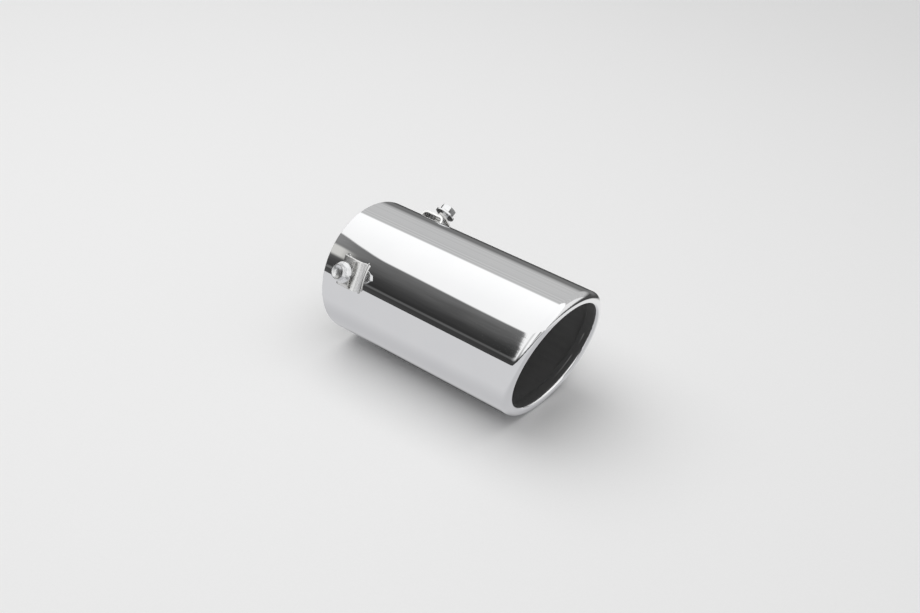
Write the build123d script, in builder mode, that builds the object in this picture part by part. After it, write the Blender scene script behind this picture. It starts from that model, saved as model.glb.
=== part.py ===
from build123d import *
import os
from math import asin, cos, degrees, radians, sin, tan

os.makedirs("parts", exist_ok=True)

# Tip tube: the axis is X, the inlet face is at X = 0 and the long side of the mouth is up
tube_diameter = 76.0
tube_wall = 1.5
tube_length = 132.0  # inlet to mouth, on the axis
slash_angle = 15.5  # mouth plane from square, in degrees
inlet_chamfer = 0.4

# Socket: the inlet end is sized inside to slide over a tailpipe
socket_relief = 0.5  # wider than the rest of the tube, all round
socket_depth = 60.0

# Lip: the mouth edge is rolled inward and turned back inside the tube
lip_width = 6.0
lip_edge_radius = 1.5
lip_flat = 0.1  # narrowest flat on the lip's crest
lip_return = 7.0  # from the crest to the free edge inside

# Clamps: one on each side of the top
clamp_station = 20.0  # from the inlet face
clamp_angle = 60.0  # from the top, in degrees

# Clamp strap: a straight channel of sheet over the wall, with a leg in each of two slots
strap_sheet = 1.2
strap_span = 15.4  # along the tube, over both legs
strap_width = 16.2  # across the tube
strap_rise = 3.5  # top of the channel above the wall, at the bolt
strap_bend = 3.4  # outer radius of the shoulders
slot_clearance = 0.2  # on each face of a leg
slot_end_room = 0.6  # beyond each edge of a leg

# Clip nut: a sheet folded in a notch of the strap's lower edge, with a thread barrel under it
clip_sheet = 0.9
clip_width = 7.0
clip_finger = 1.6  # width of the spring finger on the mouth side
clip_seat = 0.1  # lower leaf to the strap
clip_lift = 1.9  # upper leaf above the strap
clip_edge_room = 0.4  # fold to the notch
clip_short = 1.0  # finger ends short of the strap's upper edge
barrel_wall = 0.8
barrel_height = 0.9

# Clamp bolt: a hex flange bolt that points at the tube's axis
bolt_diameter = 5.0
bolt_across_flats = 8.0
bolt_flange_diameter = 11.4
bolt_flange_rim = 0.9
bolt_flange_slope = 0.9  # rise from the rim to the hexagon
bolt_head_height = 4.8  # under the flange to the top of the hexagon
bolt_crown_angle = 25.0  # slope of the hexagon's turned top, in degrees
bolt_turn = 15.0  # of the hexagon about the bolt's axis, in degrees
bolt_tip_chamfer = 0.6
bolt_stand = 1.8  # flange above the clip's upper leaf, before it is tightened
bolt_tip_recess = 0.2  # tip back from the socket's wall
thread_clearance = 0.1
bolt_hole_clearance = 0.35

tube_radius = tube_diameter / 2
bore_radius = tube_radius - tube_wall
socket_radius = bore_radius + socket_relief
mouth_radius = tube_radius - lip_width

# Lip roll: the largest radius that leaves the flat on the long side, where the corner is sharpest
slash = radians(slash_angle)
sharp_corner = radians(90 - slash_angle) / 2
blunt_corner = radians(90 + slash_angle) / 2
crest_width = lip_width / cos(slash)
lip_roll = (crest_width - lip_flat - lip_edge_radius / tan(blunt_corner)) * tan(sharp_corner)
hollow_curve = lip_roll - tube_wall

# Corner of the hollow: cut back until the wall is even again where the corner is sharpest
hollow_chamfer = hollow_curve * (1 - sin(sharp_corner)) / (sin(sharp_corner) * cos(sharp_corner))

blank_length = tube_length + tube_diameter

mouth_plane = Plane(origin=(tube_length, 0, 0), x_dir=(0, 1, 0), z_dir=(cos(slash), 0, -sin(slash)))

# Angles around the tube, in degrees
strap_half = degrees(asin(strap_width / 2 / tube_radius))
slot_half = strap_half + degrees(slot_end_room / tube_radius)

# Radii of the clamp's layers
strap_top = tube_radius + strap_rise
strap_under = strap_top - strap_sheet
lower_leaf_top = strap_under - clip_seat
lower_leaf_under = lower_leaf_top - clip_sheet
upper_leaf_under = strap_top + clip_lift
upper_leaf_top = upper_leaf_under + clip_sheet
bolt_seat = upper_leaf_top + bolt_stand
bolt_tip = socket_radius + bolt_tip_recess
bolt_radius = bolt_diameter / 2
bolt_hole_radius = bolt_radius + bolt_hole_clearance
thread_radius = bolt_radius + thread_clearance

strap_start = clamp_station - strap_span / 2
strap_end = clamp_station + strap_span / 2

strap_foot = socket_radius * cos(radians(2 * strap_half))

# Clip's fold: its outside is flush with the strap's lower edge
fold_centre = (upper_leaf_top + lower_leaf_under) / 2
fold_outer = (upper_leaf_top - lower_leaf_under) / 2
fold_inner = fold_outer - clip_sheet
fold_offset = strap_width / 2 - fold_outer
notch_start = fold_offset - clip_edge_room
fold_angle = clamp_angle + degrees(asin(fold_offset / fold_centre))
finger_end = clamp_angle - degrees(asin((strap_width / 2 - clip_short) / upper_leaf_top))
upper_middle = (fold_angle + finger_end) / 2
pad_end = clamp_angle - degrees(asin(clip_width / 2 / lower_leaf_top))
lower_middle = (fold_angle + pad_end) / 2


def meridian(angle):
    """Plane through the tube's axis, at an angle from the top: x along the tube, y outward."""
    turn = radians(angle)
    return Plane(origin=(0, 0, 0), x_dir=(1, 0, 0), z_dir=(0, -cos(turn), sin(turn)))


def outward(angle, radius):
    """Plane across a clamp's bolt, at a distance from the tube's axis: z outward."""
    turn = radians(angle)
    normal = Vector(0, sin(turn), cos(turn))
    return Plane(origin=Vector(clamp_station, 0, 0) + normal * radius, x_dir=(1, 0, 0), z_dir=normal)


def around(angle, radius):
    """Point in the cross-section of the tube, at an angle from the top."""
    turn = radians(angle)
    return (radius * sin(turn), radius * cos(turn))


# Hollow of the tube, ending one wall behind the mouth plane
with BuildPart() as hollow:
    with BuildSketch(Plane.YZ):
        Circle(bore_radius)
    extrude(amount=blank_length)
    split(bisect_by=mouth_plane.offset(-tube_wall), keep=Keep.BOTTOM)
    chamfer(hollow.edges().filter_by(GeomType.ELLIPSE), hollow_chamfer)

# Turned-back edge inside the mouth
with BuildPart() as curl:
    with BuildSketch(Plane.YZ):
        Circle(mouth_radius + tube_wall)
        Circle(mouth_radius, mode=Mode.SUBTRACT)
    extrude(amount=blank_length)
    split(bisect_by=mouth_plane.offset(-tube_wall / 2), keep=Keep.BOTTOM)
    split(bisect_by=mouth_plane.offset(-lip_return), keep=Keep.TOP)

# Tip body
with BuildPart() as tip_body:
    with BuildSketch(Plane.YZ):
        Circle(tube_radius)
    extrude(amount=blank_length)
    split(bisect_by=mouth_plane, keep=Keep.BOTTOM)
    fillet(tip_body.edges().filter_by(GeomType.ELLIPSE), lip_roll)
    chamfer(tip_body.edges().filter_by(GeomType.CIRCLE).sort_by(Axis.X)[0], inlet_chamfer)
    add(hollow.part, mode=Mode.SUBTRACT)
    with BuildSketch(Plane.YZ):
        Circle(socket_radius)
    extrude(amount=socket_depth, mode=Mode.SUBTRACT)
    with BuildSketch(Plane.YZ.offset(socket_depth)):
        Circle(mouth_radius)
    extrude(amount=blank_length, mode=Mode.SUBTRACT)
    add(curl.part)
    crest = tip_body.faces().filter_by(GeomType.PLANE).sort_by(Axis((0, 0, 0), mouth_plane.z_dir))[-1]
    fillet(crest.inner_wires()[0].edges(), lip_edge_radius)
    for side in (clamp_angle, -clamp_angle):
        with BuildSketch(meridian(side + slot_half)):
            for leg in (strap_start + strap_sheet / 2, strap_end - strap_sheet / 2):
                with Locations((leg, tube_radius)):
                    Rectangle(strap_sheet + 2 * slot_clearance, 4 * tube_wall)
        revolve(axis=Axis.X, revolution_arc=2 * slot_half, mode=Mode.SUBTRACT)
        with BuildSketch(outward(side, tube_radius - 2 * tube_wall)):
            Circle(bolt_hole_radius)
        extrude(amount=4 * tube_wall, mode=Mode.SUBTRACT)

# Clamp strap, its legs trimmed flush with the socket's wall
with BuildPart() as right_clamp_strap:
    with BuildSketch(meridian(clamp_angle)):
        with BuildLine():
            outer = FilletPolyline(
                (strap_start, strap_foot),
                (strap_start, strap_top),
                (strap_end, strap_top),
                (strap_end, strap_foot),
                radius=strap_bend,
            )
            inner = FilletPolyline(
                (strap_end - strap_sheet, strap_foot),
                (strap_end - strap_sheet, strap_under),
                (strap_start + strap_sheet, strap_under),
                (strap_start + strap_sheet, strap_foot),
                radius=strap_bend - strap_sheet,
            )
            Line(outer @ 1, inner @ 0)
            Line(inner @ 1, outer @ 0)
        make_face()
    extrude(amount=strap_width / 2, both=True)
    with BuildSketch(Plane.YZ):
        Circle(socket_radius)
    extrude(amount=blank_length, mode=Mode.SUBTRACT)
    with BuildSketch(outward(clamp_angle, strap_under - strap_sheet)):
        Circle(bolt_hole_radius)
        with Locations((0, notch_start + strap_width / 2)):
            Rectangle(clip_width + 2 * clip_edge_room, strap_width)
    extrude(amount=3 * strap_sheet, mode=Mode.SUBTRACT)

# Clip nut, folded over the strap's notch
fold_away = Vector(cos(radians(fold_angle)), -sin(radians(fold_angle)))
with BuildPart() as right_clip_nut:
    with BuildSketch(Plane.YZ.offset(clamp_station - clip_width / 2)):
        with BuildLine():
            over = ThreePointArc(
                around(finger_end, upper_leaf_top),
                around(upper_middle, upper_leaf_top),
                around(fold_angle, upper_leaf_top),
            )
            back = ThreePointArc(
                over @ 1,
                Vector(*around(fold_angle, fold_centre)) + fold_away * fold_outer,
                around(fold_angle, lower_leaf_under),
            )
            under = ThreePointArc(
                back @ 1,
                around(lower_middle, lower_leaf_under),
                around(pad_end, lower_leaf_under),
            )
            lower = ThreePointArc(
                around(pad_end, lower_leaf_top),
                around(lower_middle, lower_leaf_top),
                around(fold_angle, lower_leaf_top),
            )
            throat = ThreePointArc(
                lower @ 1,
                Vector(*around(fold_angle, fold_centre)) + fold_away * fold_inner,
                around(fold_angle, upper_leaf_under),
            )
            upper = ThreePointArc(
                throat @ 1,
                around(upper_middle, upper_leaf_under),
                around(finger_end, upper_leaf_under),
            )
            Line(under @ 1, lower @ 0)
            Line(upper @ 1, over @ 0)
        make_face()
    extrude(amount=clip_width)
    with BuildSketch(outward(clamp_angle, tube_radius)):
        with Locations((-clip_finger, -strap_width / 2)):
            Rectangle(clip_width, strap_width)
        Circle(clip_width / 2, mode=Mode.SUBTRACT)
    extrude(amount=upper_leaf_top - tube_radius, mode=Mode.SUBTRACT)
    with BuildSketch(outward(clamp_angle, lower_leaf_under - barrel_height)):
        Circle(thread_radius + barrel_wall)
    extrude(amount=barrel_height + clip_sheet / 2)
    with BuildSketch(outward(clamp_angle, lower_leaf_under - barrel_height)):
        Circle(thread_radius)
    extrude(amount=upper_leaf_top - lower_leaf_under + barrel_height + clip_sheet, mode=Mode.SUBTRACT)

# Clamp bolt
bolt_length = bolt_seat - bolt_tip
flange_radius = bolt_flange_diameter / 2
hex_radius = bolt_across_flats / 2
flange_top = bolt_flange_rim + bolt_flange_slope
bolt_section = Plane(
    origin=outward(clamp_angle, bolt_seat).origin, x_dir=(1, 0, 0), z_dir=meridian(clamp_angle).z_dir
)
bolt_axis = Axis(bolt_section.origin, outward(clamp_angle, bolt_seat).z_dir)
with BuildPart() as right_clamp_bolt:
    with BuildSketch(outward(clamp_angle, bolt_seat)):
        RegularPolygon(hex_radius, 6, major_radius=False, rotation=bolt_turn)
    extrude(amount=bolt_head_height)
    with BuildSketch(bolt_section):
        with BuildLine():
            Polyline(
                (hex_radius, bolt_head_height),
                (2 * hex_radius, bolt_head_height),
                (2 * hex_radius, bolt_head_height - hex_radius * tan(radians(bolt_crown_angle))),
                close=True,
            )
        make_face()
    revolve(axis=bolt_axis, mode=Mode.SUBTRACT)
    with BuildSketch(bolt_section):
        with BuildLine():
            Polyline(
                (0, -bolt_length),
                (bolt_radius - bolt_tip_chamfer, -bolt_length),
                (bolt_radius, bolt_tip_chamfer - bolt_length),
                (bolt_radius, 0),
                (flange_radius, 0),
                (flange_radius, bolt_flange_rim),
                (hex_radius, flange_top),
                (0, flange_top),
                close=True,
            )
        make_face()
    revolve(axis=bolt_axis)

# The other side's clamp is the mirror image
with BuildPart() as left_clamp_strap:
    mirror(right_clamp_strap.part, about=Plane.XZ)
with BuildPart() as left_clip_nut:
    mirror(right_clip_nut.part, about=Plane.XZ)
with BuildPart() as left_clamp_bolt:
    mirror(right_clamp_bolt.part, about=Plane.XZ)

tip_body.part.label = "tip_body"
right_clamp_strap.part.label = "right_clamp_strap"
left_clamp_strap.part.label = "left_clamp_strap"
right_clip_nut.part.label = "right_clip_nut"
left_clip_nut.part.label = "left_clip_nut"
right_clamp_bolt.part.label = "right_clamp_bolt"
left_clamp_bolt.part.label = "left_clamp_bolt"

export_step(tip_body.part, "parts/tip_body.step")
export_step(right_clamp_strap.part, "parts/right_clamp_strap.step")
export_step(left_clamp_strap.part, "parts/left_clamp_strap.step")
export_step(right_clip_nut.part, "parts/right_clip_nut.step")
export_step(left_clip_nut.part, "parts/left_clip_nut.step")
export_step(right_clamp_bolt.part, "parts/right_clamp_bolt.step")
export_step(left_clamp_bolt.part, "parts/left_clamp_bolt.step")
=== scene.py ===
import math

import bmesh
import bpy
from mathutils import Matrix, Vector


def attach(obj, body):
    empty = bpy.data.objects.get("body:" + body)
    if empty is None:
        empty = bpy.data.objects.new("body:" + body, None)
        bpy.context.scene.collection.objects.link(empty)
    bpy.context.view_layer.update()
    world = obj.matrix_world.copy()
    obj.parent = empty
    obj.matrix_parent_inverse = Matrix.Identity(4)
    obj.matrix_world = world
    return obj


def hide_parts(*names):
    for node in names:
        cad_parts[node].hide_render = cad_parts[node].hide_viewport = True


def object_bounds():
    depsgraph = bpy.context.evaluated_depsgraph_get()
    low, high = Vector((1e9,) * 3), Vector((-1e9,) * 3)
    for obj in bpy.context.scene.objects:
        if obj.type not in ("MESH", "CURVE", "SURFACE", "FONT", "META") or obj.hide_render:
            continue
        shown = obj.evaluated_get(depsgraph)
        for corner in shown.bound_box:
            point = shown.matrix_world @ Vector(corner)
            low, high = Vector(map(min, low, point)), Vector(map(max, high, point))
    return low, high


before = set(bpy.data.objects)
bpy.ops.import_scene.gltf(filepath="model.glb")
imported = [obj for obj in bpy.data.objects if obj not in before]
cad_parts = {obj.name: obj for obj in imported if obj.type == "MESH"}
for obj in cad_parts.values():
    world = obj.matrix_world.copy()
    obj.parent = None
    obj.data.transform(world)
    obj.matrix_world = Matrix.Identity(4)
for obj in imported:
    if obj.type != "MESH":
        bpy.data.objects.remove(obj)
cad_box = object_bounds()

MM = 0.001

# Sizes as in the part's source
tube_radius = 38.0 * MM
tube_wall = 1.5 * MM
mouth_station = 132.0 * MM  # mouth plane on the tube's axis
slash = math.radians(15.5)
mouth_radius = 32.0 * MM  # inside the lip
lip_return = 7.0 * MM
clamp_station = 20.0 * MM
clamp_angle = math.radians(60.0)  # from the top
bolt_seat = 46.1 * MM  # flange's underside from the tube's axis
bolt_length = 8.9 * MM
bolt_radius = 2.5 * MM
bolt_tip_radius = 1.9 * MM

# Reach of the tube's finishes and of its painted light, back from the mouth plane unless it says otherwise
lip_polish = 1.7 * MM  # on the lip's inner edge
roll_polish = 3.0 * MM  # on its outer roll
roll_start = (mouth_radius + 1.0 * MM, mouth_radius + 2.0 * MM)  # from the tube's axis
polish_blend = 0.3 * MM
# Painted light: behind this the dull inside turns from the turned-back lip's tone to a lighter one, to
# make up for the shade deep in the tube
bore_painted_light_change = (lip_return - 0.4 * MM, lip_return + 0.6 * MM)
# Painted reflections of the lip on the inner wall: bright streaks along one line, over these arcs
painted_reflection_line = 4.4 * MM  # painted reflection of the lip on the inner wall, a bright line this far back
painted_reflection_half = 0.5 * MM
painted_reflection_arcs = ((97.0, 113.0), (122.0, 157.0))  # degrees round from the top
painted_reflection_fade = 4.0
painted_reflection_level = 0.62

# Fine forms that only the scene has
thread_pitch = 0.8 * MM
thread_depth = 0.46 * MM
thread_steps = 36  # per turn
thread_root = 0.1 * MM  # runs on into the flange
sheet_edge = 0.22 * MM
clip_edge = 0.16 * MM
bolt_edge = 0.16 * MM
edge_steps = 3
sharp_angle = math.radians(32.0)
head_dish = ((0.4 * MM, 0.0), (0.9 * MM, 0.5 * MM), (1.3 * MM, 0.2 * MM))  # steps in, with depths
strap_bow = 24.0 * MM  # radius along the tube, in the finish only

# Tolerances of the mesh work
merge_distance = 0.002 * MM
thread_cut = 0.001 * MM
flat_angle = math.radians(0.4)

# Camera, fitted to the photograph's outline of the tube
camera_azimuth = math.radians(41.22)
camera_elevation = math.radians(34.03)
camera_target = Vector((70.0 * MM, 0.0, 0.0))
camera_distance = 731.8 * MM
camera_lens = 53.66
camera_shift = (-0.00495, 0.00565)

# Studio: a softbox over the tube, a pale floor and plain walls
floor_half = 3.0
floor_fade = (0.5, 1.6)  # from the origin, out to an even tone for the camera
softbox_height = 1.0
softbox_near_angle = math.radians(36.0)  # from straight up, towards the camera's side
softbox_far_angle = math.radians(31.0)
softbox_corner = math.radians(15.0)  # cut off the near corner at the inlet's end
softbox_slant = math.radians(4.0)
softbox_blur = math.radians(1.6)
softbox_ends = (-1.15, 0.75)  # along the tube
softbox_radiance = 1.5
softbox_glow = (1.12, 1.25)  # as reflections show it, at its near and far edges
pale = 0.91  # far floor and backdrop, as the camera sees them
soft_level = 0.38  # of the world, for diffuse light

# Walls as reflections show them: pairs of height, 0.5 at the horizon and 1 straight up, and level
dark_wall_levels = (
    (0.50, 0.06),
    (0.55, 0.045),
    (0.562, 0.13),
    (0.575, 0.12),
    (0.585, 0.035),
    (0.66, 0.05),
    (0.83, 0.17),
)
light_wall_levels = ((0.48, 0.16), (0.51, 0.22), (0.55, 0.42), (0.60, 0.60), (0.83, 0.62))
near_end_levels = ((0.50, 0.05), (0.545, 0.07), (0.575, 0.70), (0.63, 1.15), (1.0, 1.15))
panel_levels = ((0.50, 0.05), (0.56, 0.07), (0.59, 0.36), (0.68, 0.62), (0.80, 0.80))
far_end_levels = ((0.49, 0.30), (0.53, 0.45), (0.56, 0.95), (1.0, 1.0))
window_colour = (0.74, 0.735, 0.71)
gap_level = 0.06
gap_share = 0.9

# Their soft edges, along a part of the unit direction or along height
inlet_edge = (-0.645, -0.60)  # x
slant_edge = (-0.62, -0.52)  # x
window_side = (-0.628, -0.616)  # x
window_foot = (0.69, 0.725)  # height
window_top = (0.785, 0.805)  # height
side_change = (-0.12, 0.12)  # y, from the dark wall to the light one
end_change = (-0.4, 0.1)  # y, from the end wall's near part to its far part
panel_sides = ((-0.40, -0.06), (0.08, 0.36))  # x
gap_lean = 0.25  # of z, taken off x
gap_sides = ((0.64, 0.72), (0.84, 0.92))  # x, leaning
gap_reach = (-0.05, 0.15)  # y
gap_foot = (0.15, 0.35)  # z
corner_edge = (-0.5040, -0.5030)  # x, from the side walls to the end wall
corner_turn = (0.0, 0.5)  # y, where the corner moves along x
corner_shift = 0.9
corner_wear = 0.005

# Floor as reflections show it, in metres: a pale table with painted shade beside the tube and a painted
# shadow under it, and a dim room behind it
table_painted_shade = (0.61, 0.61, 0.625)  # beside the tube, darker: painted shade
table_far = (0.735, 0.735, 0.75)
table_change = (0.035, 0.075)  # to both sides
back_level = 0.92
back_change = (0.03, 0.08)  # y
# A painted shadow on the floor under the tube, as reflections show it
contact_shadow_level = 0.04
contact_shadow_side = (0.0185, 0.0285)  # to both sides
contact_shadow_ends = ((-0.02, 0.03), (0.110, 0.130))  # x
room_levels = (0.05, 0.20)
room_depth = (0.10, 0.40)  # y
room_side = (0.10, 0.25)  # x
room_dim = 0.8
table_corner = (0.03, 0.07)  # y less x, where the table ends
table_end = (0.12, 0.17)  # y, where it ends


class Value:
    """One output of a node. Arithmetic on it adds Math nodes to the same tree."""

    def __init__(self, tree, socket=None):
        self.tree = tree
        self.socket = socket

    def add(self, kind, settings=None, inputs=None, output=0):
        """Adds a node, sets it up, fills its sockets and gives one of its outputs."""
        node = self.tree.nodes.new(kind)
        for name, setting in (settings or {}).items():
            if name == "stops":
                ramp = node.color_ramp.elements
                while len(ramp) < len(setting):
                    ramp.new(0.5)
                for stop, (place, level) in zip(ramp, setting):
                    stop.position = place
                    stop.color = (level, level, level, 1.0)
            else:
                setattr(node, name, setting)
        fill(node, inputs or {})
        return Value(self.tree, node.outputs[output])

    def maths(self, operation, *given):
        return self.add("ShaderNodeMath", {"operation": operation}, dict(enumerate(given)))

    def __add__(self, other):
        return self.maths("ADD", self, other)

    def __radd__(self, other):
        return self.maths("ADD", other, self)

    def __sub__(self, other):
        return self.maths("SUBTRACT", self, other)

    def __rsub__(self, other):
        return self.maths("SUBTRACT", other, self)

    def __mul__(self, other):
        return self.maths("MULTIPLY", self, other)

    def __rmul__(self, other):
        return self.maths("MULTIPLY", other, self)

    def __pow__(self, other):
        return self.maths("POWER", self, other)

    def __abs__(self):
        return self.maths("ABSOLUTE", self)

    def larger(self, other):
        return self.maths("MAXIMUM", self, other)

    def angle(self, other):
        """The angle from the other value's axis towards this one's."""
        return self.maths("ARCTAN2", self, other)

    def rise(self, low, high):
        """0 below low, 1 above high, smooth between."""
        return self.add(
            "ShaderNodeMapRange",
            {"interpolation_type": "SMOOTHSTEP"},
            {"Value": self, "From Min": low, "From Max": high},
        )

    def band(self, first, last):
        """1 between two soft edges, 0 beyond them."""
        return self.rise(*first) * (1 - self.rise(*last))

    def parts(self):
        """The three parts of a vector."""
        node = self.add("ShaderNodeSeparateXYZ", inputs={"Vector": self}).socket.node
        return [Value(self.tree, out) for out in node.outputs]

    def stretched(self, scale):
        return self.add("ShaderNodeVectorMath", {"operation": "MULTIPLY"}, {0: self, 1: scale})

    def noise(self, scale, detail=3.0, roughness=0.55):
        return self.add(
            "ShaderNodeTexNoise",
            inputs={"Vector": self, "Scale": scale, "Detail": detail, "Roughness": roughness},
        )

    def ramp(self, stops):
        return self.add("ShaderNodeValToRGB", {"stops": stops}, {"Fac": self})

    def between(self, low, high):
        """A colour from low to high."""
        return self.add(
            "ShaderNodeMix", {"data_type": "RGBA"}, {0: self, 6: colour(low), 7: colour(high)}, output=2
        )

    def bump(self, strength, distance):
        """A normal that follows this height."""
        return self.add(
            "ShaderNodeBump", inputs={"Strength": strength, "Distance": distance, "Height": self}
        )


def fill(node, inputs):
    """Links values to a node's sockets and sets the sockets that get plain numbers."""
    for name, given in inputs.items():
        if isinstance(given, Value):
            given.tree.links.new(given.socket, node.inputs[name])
        else:
            node.inputs[name].default_value = given


def colour(given):
    """A colour socket's value: a link as it is, a grey from one number, or three numbers."""
    if isinstance(given, Value):
        return given
    if isinstance(given, float):
        return (given, given, given, 1.0)
    return (*given, 1.0)


def rays(start):
    """1 for what the camera sees directly, and 1 for what reflections show."""
    return [start.add("ShaderNodeLightPath", output=name) for name in ("Is Camera Ray", "Is Glossy Ray")]


def material(name):
    """A new material, its Object coordinates and its Principled shader."""
    made = bpy.data.materials.new(name)
    made.use_nodes = True
    tree = made.node_tree
    place = Value(tree).add("ShaderNodeTexCoord", output="Object")
    return made, place, tree.nodes["Principled BSDF"]


def polished_tube():
    """Mirror-polished steel outside and on the lip, dull dark steel inside, with painted light in it: the
    deep bore painted lighter against its shade, and painted reflections of the lip on the inner wall.
    """
    made, place, shader = material("polished_tube")
    x, y, z = place.parts()
    radius = (y * y + z * z) ** 0.5
    behind = (mouth_station - x) * math.cos(slash) + z * math.sin(slash)
    wall_middle = tube_radius - tube_wall / 2
    outside = radius.rise(wall_middle - polish_blend, wall_middle)
    lip = 1 - behind.rise(lip_polish - polish_blend, lip_polish + polish_blend)
    roll = 1 - behind.rise(roll_polish - polish_blend, roll_polish + polish_blend)
    polish = outside.larger(lip).larger(roll * radius.rise(*roll_start))

    smudge = place.noise(38.0, 4.0)
    buffing = place.stretched((2200.0, 60.0, 60.0)).noise(1.0, 2.0)
    drawing = place.stretched((14.0, 700.0, 700.0)).noise(1.0, 3.0)
    scale_spots = place.noise(160.0, 5.0, 0.65)
    waves = place.stretched((20.0, 34.0, 34.0)).noise(1.0, 2.0, 0.35)

    bright = smudge.between((0.775, 0.78, 0.79), (0.83, 0.83, 0.828))
    stain = 0.6 * drawing + 0.4 * scale_spots
    # Painted light: the deep bore gets a lighter tone than the turned-back lip, to make up for the shade
    # deep inside the tube
    bore_painted_lighter = stain.between((0.235, 0.235, 0.24), (0.33, 0.328, 0.325))
    turned_back = stain.between((0.14, 0.14, 0.142), (0.21, 0.209, 0.207))
    dull = behind.rise(*bore_painted_light_change).between(turned_back, bore_painted_lighter)
    # Painted reflection: bright streaks where the lip is mirrored in the inner wall, along one line and
    # over the given arcs
    painted_reflection_band = behind.band((painted_reflection_line - painted_reflection_half, painted_reflection_line), (painted_reflection_line, painted_reflection_line + painted_reflection_half))
    around = y.angle(z) * math.degrees(1.0)
    for begins, ends in painted_reflection_arcs:
        brightest = begins + painted_reflection_fade
        painted_reflection_arc = around.band((begins, brightest), (brightest, ends))
        dull = (painted_reflection_band * painted_reflection_arc).between(dull, painted_reflection_level)

    bright_roughness = 0.006 + 0.02 * smudge + 0.008 * buffing
    dull_roughness = 0.34 + 0.16 * scale_spots
    bright_height = 2.2 * waves + 0.010 * buffing
    dull_height = 0.5 * drawing + 0.3 * scale_spots
    height = polish * bright_height + (1 - polish) * dull_height
    fill(
        shader,
        {
            "Base Color": polish.between(dull, bright),
            "Metallic": 0.35 + 0.65 * polish,
            "Roughness": dull_roughness + polish * (bright_roughness - dull_roughness),
            "Normal": height.bump(0.6, 0.03 * MM),
        },
    )
    return made


def strap_steel():
    """Bright stainless sheet, rolled along its length and shaded as bowed between its legs."""
    made, place, shader = material("strap_steel")
    apart = place.parts()[0] - clamp_station
    bow = apart * apart * (-0.5 / strap_bow)
    rolling = place.stretched((150.0, 1900.0, 1900.0)).noise(1.0, 3.0)
    stain = place.noise(240.0, 4.0)
    height = bow + 0.001 * MM * (rolling + 0.5 * stain)
    fill(
        shader,
        {
            "Base Color": stain.between((0.90, 0.90, 0.885), (0.96, 0.96, 0.95)),
            "Metallic": 1.0,
            "Roughness": 0.31 + 0.08 * rolling + 0.06 * stain,
            "Normal": height.bump(1.0, 1.0),
        },
    )
    return made


def clip_steel():
    """Plated spring steel, darker than the strap."""
    made, place, shader = material("clip_steel")
    plating = place.noise(520.0, 5.0, 0.6)
    stain = place.noise(150.0, 3.0)
    fill(
        shader,
        {
            "Base Color": stain.between((0.68, 0.675, 0.66), (0.82, 0.815, 0.80)),
            "Metallic": 1.0,
            "Roughness": 0.18 + 0.14 * plating,
            "Normal": plating.bump(0.4, 0.02 * MM),
        },
    )
    return made


def bolt_steel():
    """Bright zinc on a forged bolt."""
    made, place, shader = material("bolt_steel")
    grain = place.noise(900.0, 4.0, 0.6)
    bloom = place.noise(210.0, 4.0)
    fill(
        shader,
        {
            "Base Color": bloom.between((0.74, 0.75, 0.765), (0.87, 0.87, 0.86)),
            "Metallic": 1.0,
            "Roughness": 0.17 + 0.12 * bloom + 0.05 * grain,
            "Normal": (grain + bloom).bump(0.3, 0.02 * MM),
        },
    )
    return made


def copy_of(node):
    """A bmesh copy of a CAD node, with its triangles merged into whole faces."""
    bm = bmesh.new()
    bm.from_mesh(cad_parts[node].data)
    bmesh.ops.remove_doubles(bm, verts=bm.verts, dist=merge_distance)
    bmesh.ops.dissolve_limit(bm, angle_limit=flat_angle, verts=bm.verts, edges=bm.edges)
    return bm


def piece(bm, name, body, finish, node=None, edge=None):
    """Makes a bmesh a piece of the part. It may stand for a CAD node and have rounded edges."""
    bmesh.ops.recalc_face_normals(bm, faces=bm.faces)
    for face in bm.faces:
        face.smooth = True
    mesh = bpy.data.meshes.new(name)
    bm.to_mesh(mesh)
    bm.free()
    mesh.set_sharp_from_angle(angle=sharp_angle)
    mesh.materials.append(finish)
    made = bpy.data.objects.new(name, mesh)
    bpy.context.scene.collection.objects.link(made)
    if edge:
        rounding = made.modifiers.new("edges", "BEVEL")
        rounding.width = edge
        rounding.segments = edge_steps
        rounding.limit_method = "ANGLE"
        rounding.angle_limit = sharp_angle
        rounding.harden_normals = True
    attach(made, body)
    if node:
        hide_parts(node)


def finish_sheet_pieces():
    """Straps and clips: the CAD forms with rounded sheet edges."""
    strap = strap_steel()
    clip = clip_steel()
    for side in ("left", "right"):
        node = side + "_clamp_strap"
        piece(copy_of(node), side + "_strap", "tip", strap, node, sheet_edge)
        node = side + "_clip_nut"
        piece(copy_of(node), side + "_clip", "tip", clip, node, clip_edge)


def bolt_place(side):
    """Turns a bolt's own frame, z outward from under the flange, to its place on one side."""
    turn = clamp_angle if side == "right" else -clamp_angle
    outward = Vector((0.0, math.sin(turn), math.cos(turn)))
    along = Vector((1.0, 0.0, 0.0))
    place = Matrix((along, outward.cross(along), outward)).transposed().to_4x4()
    place.translation = along * clamp_station + outward * bolt_seat
    return place


def cut(bm, height, way, distance):
    """Cuts a mesh at a height and takes off what lies above it, or below it where way is -1."""
    bmesh.ops.bisect_plane(
        bm,
        geom=bm.verts[:] + bm.edges[:] + bm.faces[:],
        dist=distance,
        plane_co=(0, 0, height),
        plane_no=(0, 0, way),
        clear_outer=True,
    )


def fill_ends(bm):
    """Closes the open ends that cuts leave."""
    edges = [edge for edge in bm.edges if edge.is_boundary]
    filled = bmesh.ops.holes_fill(bm, edges=edges, sides=0)
    bmesh.ops.triangulate(bm, faces=filled["faces"])


def bolt_head(node, place):
    """The CAD head without its shank, with a shallow dish in the top."""
    bm = copy_of(node)
    bm.transform(place.inverted())
    cut(bm, 0, -1, merge_distance)
    fill_ends(bm)
    top = max(bm.faces, key=lambda face: face.calc_center_median().z)
    for width, depth in head_dish:
        bmesh.ops.inset_individual(bm, faces=[top], thickness=width, depth=-depth, use_even_offset=True)
    bm.transform(place)
    return bm


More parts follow.
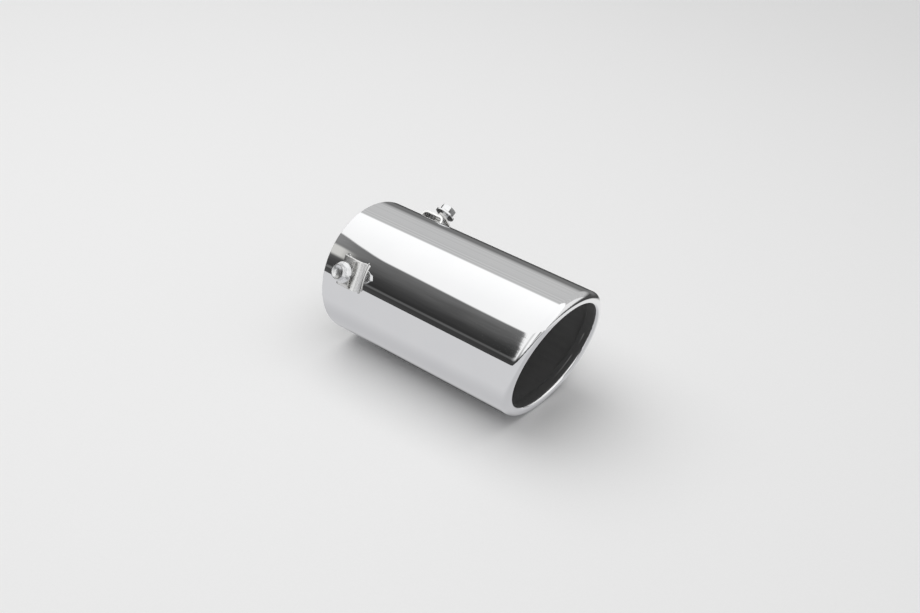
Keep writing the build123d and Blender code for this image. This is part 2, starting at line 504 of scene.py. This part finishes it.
def bolt_shank(place):
    """A threaded shank with a chamfered tip."""
    bm = bmesh.new()
    root = bolt_radius - thread_depth
    root_flat = thread_pitch / 4
    flank = thread_pitch * 5 / 16
    low = -bolt_length - thread_pitch
    outline = [
        (root, 0.0),
        (root, root_flat),
        (bolt_radius, root_flat + flank),
        (bolt_radius, thread_pitch - flank),
        (root, thread_pitch),
    ]
    verts = [bm.verts.new((across, 0.0, low + rise)) for across, rise in outline]
    edges = [bm.edges.new(pair) for pair in zip(verts, verts[1:])]
    turns = math.ceil(bolt_length / thread_pitch) + 2
    bmesh.ops.spin(
        bm,
        geom=verts + edges,
        cent=(0, 0, 0),
        axis=(0, 0, 1),
        dvec=(0, 0, thread_pitch / thread_steps),
        angle=2 * math.pi * turns,
        steps=thread_steps * turns,
        use_merge=False,
    )
    bmesh.ops.remove_doubles(bm, verts=bm.verts, dist=merge_distance)
    cut(bm, -bolt_length, -1, thread_cut)
    cut(bm, thread_root, 1, thread_cut)
    fill_ends(bm)
    for vert in bm.verts:
        across = math.hypot(vert.co.x, vert.co.y)
        limit = bolt_tip_radius + vert.co.z + bolt_length
        if across > limit:
            vert.co.x *= limit / across
            vert.co.y *= limit / across
    bm.transform(place)
    return bm


def finish_bolts():
    """Bolts: the CAD heads with finer edges, on threaded shanks."""
    finish = bolt_steel()
    for side in ("left", "right"):
        place = bolt_place(side)
        node = side + "_clamp_bolt"
        body = side + "_bolt"
        piece(bolt_head(node, place), side + "_bolt_head", body, finish, node, bolt_edge)
        piece(bolt_shank(place), side + "_bolt_shank", body, finish)


def light_studio():
    """Floor, softbox and world."""
    ground = cad_box[0].z
    bm = bmesh.new()
    bmesh.ops.create_grid(bm, x_segments=1, y_segments=1, size=floor_half)
    bmesh.ops.translate(bm, verts=bm.verts, vec=(0, 0, ground))
    mesh = bpy.data.meshes.new("floor")
    bm.to_mesh(mesh)
    bm.free()
    floor = bpy.data.objects.new("floor", mesh)
    bpy.context.scene.collection.objects.link(floor)
    mesh.materials.append(floor_paper())

    near = -softbox_height * math.tan(softbox_near_angle)
    far = softbox_height * math.tan(softbox_far_angle)
    light = bpy.data.lights.new("softbox", "AREA")
    light.shape = "RECTANGLE"
    light.size = softbox_ends[1] - softbox_ends[0]
    light.size_y = far - near
    light.energy = softbox_radiance * math.pi * light.size * light.size_y
    softbox = bpy.data.objects.new("softbox", light)
    softbox.location = (sum(softbox_ends) / 2, (near + far) / 2, softbox_height)
    softbox.visible_glossy = False
    bpy.context.scene.collection.objects.link(softbox)

    world = bpy.data.worlds.new("studio")
    world.use_nodes = True
    bpy.context.scene.world = world
    studio_walls(world.node_tree)


def floor_paper():
    """Pale paper. In reflections it is a pale table with painted shade beside the tube and a painted
    shadow under it, with a dim room behind it.
    """
    made, place, shader = material("floor_paper")
    x, y, _ = place.parts()
    fibre = place.noise(900.0, 4.0)
    fill(shader, {"Base Color": fibre.between(0.83, 0.86), "Roughness": 0.9, "Specular IOR Level": 0.1})

    apart = abs(y)
    # Painted shade: the table is darker close beside the tube
    table = apart.rise(*table_change).between(table_painted_shade, table_far)
    table = y.rise(*back_change).between(table, back_level)
    # Painted shadow: dark under the tube, for reflections only
    under = (1 - apart.rise(*contact_shadow_side)) * x.band(*contact_shadow_ends)
    room = (y.rise(*room_depth) * (1 - room_dim * x.rise(*room_side))).between(*room_levels)
    behind = (y - x).rise(*table_corner).larger(y.rise(*table_end))
    reflected = behind.between(under.between(table, contact_shadow_level), room)

    seen, mirrored = rays(place)
    level = mirrored.between(pale, reflected)
    even = place.add("ShaderNodeEmission", inputs={"Color": level, "Strength": 1.0})
    distance = (x * x + y * y) ** 0.5
    share = (seen * distance.rise(*floor_fade)).larger(mirrored)
    paper = Value(place.tree, shader.outputs["BSDF"])
    mixed = place.add("ShaderNodeMixShader", inputs={0: share, 1: paper, 2: even})
    fill(place.tree.nodes["Material Output"], {"Surface": mixed})
    return made


def studio_walls(tree):
    """Pale for the camera, soft for diffuse light, a softbox between plain walls in reflections."""
    way = Value(tree).add("ShaderNodeTexCoord", output="Generated")
    x, y, z = way.parts()
    height = 0.5 + 0.5 * z
    around = y.angle(z)
    mottle = way.stretched((24.0, 9.0, 9.0)).noise(1.0, 5.0, 0.65)
    boards = around.add(
        "ShaderNodeTexNoise", {"noise_dimensions": "1D"}, {"W": around * 7.0, "Scale": 3.0, "Detail": 4.0}
    )

    inlet_end = 1 - x.rise(*inlet_edge)
    dark_wall = (0.55 + 0.9 * mottle + 0.8 * inlet_end) * height.ramp(dark_wall_levels)
    window = (1 - x.rise(*window_side)) * height.band(window_foot, window_top)
    dark_wall = window.between(dark_wall, window_colour)
    light_wall = (0.78 + 0.44 * boards) * height.ramp(light_wall_levels)
    walls = y.rise(*side_change).between(dark_wall, light_wall)

    near_end = x.band(*panel_sides).between(height.ramp(near_end_levels), height.ramp(panel_levels))
    end_wall = y.rise(*end_change).between(near_end, height.ramp(far_end_levels))
    gap = (x - gap_lean * z).band(*gap_sides) * (1 - y.rise(*gap_reach)) * z.rise(*gap_foot)
    end_wall = (gap_share * gap).between(end_wall, gap_level)
    corner = x - corner_shift * y.rise(*corner_turn) + corner_wear * mottle
    walls = corner.rise(*corner_edge).between(walls, end_wall)

    near_edge = inlet_end * softbox_corner + (1 - x.rise(*slant_edge)) * softbox_slant - softbox_near_angle
    lit = around.band(
        (near_edge - softbox_blur, near_edge + softbox_blur),
        (softbox_far_angle - softbox_blur, softbox_far_angle + softbox_blur),
    )
    glow = around.rise(-softbox_near_angle, softbox_far_angle).between(*softbox_glow)
    reflected = lit.between(walls, glow)

    seen, mirrored = rays(way)
    level = seen.between(mirrored.between(soft_level, reflected), pale)
    fill(tree.nodes["Background"], {"Color": level})


def set_camera():
    """The camera at the photograph's viewing angle."""
    data = bpy.data.cameras.new("camera")
    data.lens = camera_lens
    data.shift_x, data.shift_y = camera_shift
    back = Vector(
        (
            math.sin(camera_azimuth) * math.cos(camera_elevation),
            -math.cos(camera_azimuth) * math.cos(camera_elevation),
            math.sin(camera_elevation),
        )
    )
    camera = bpy.data.objects.new("camera", data)
    camera.location = camera_target + back * camera_distance
    camera.rotation_mode = "QUATERNION"
    camera.rotation_quaternion = (-back).to_track_quat("-Z", "Y")
    bpy.context.scene.collection.objects.link(camera)
    bpy.context.scene.camera = camera


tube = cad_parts["tip_body"]
tube.data.materials.clear()
tube.data.materials.append(polished_tube())
finish_sheet_pieces()
finish_bolts()
light_studio()
set_camera()
bpy.context.scene.view_settings.view_transform = "Standard"
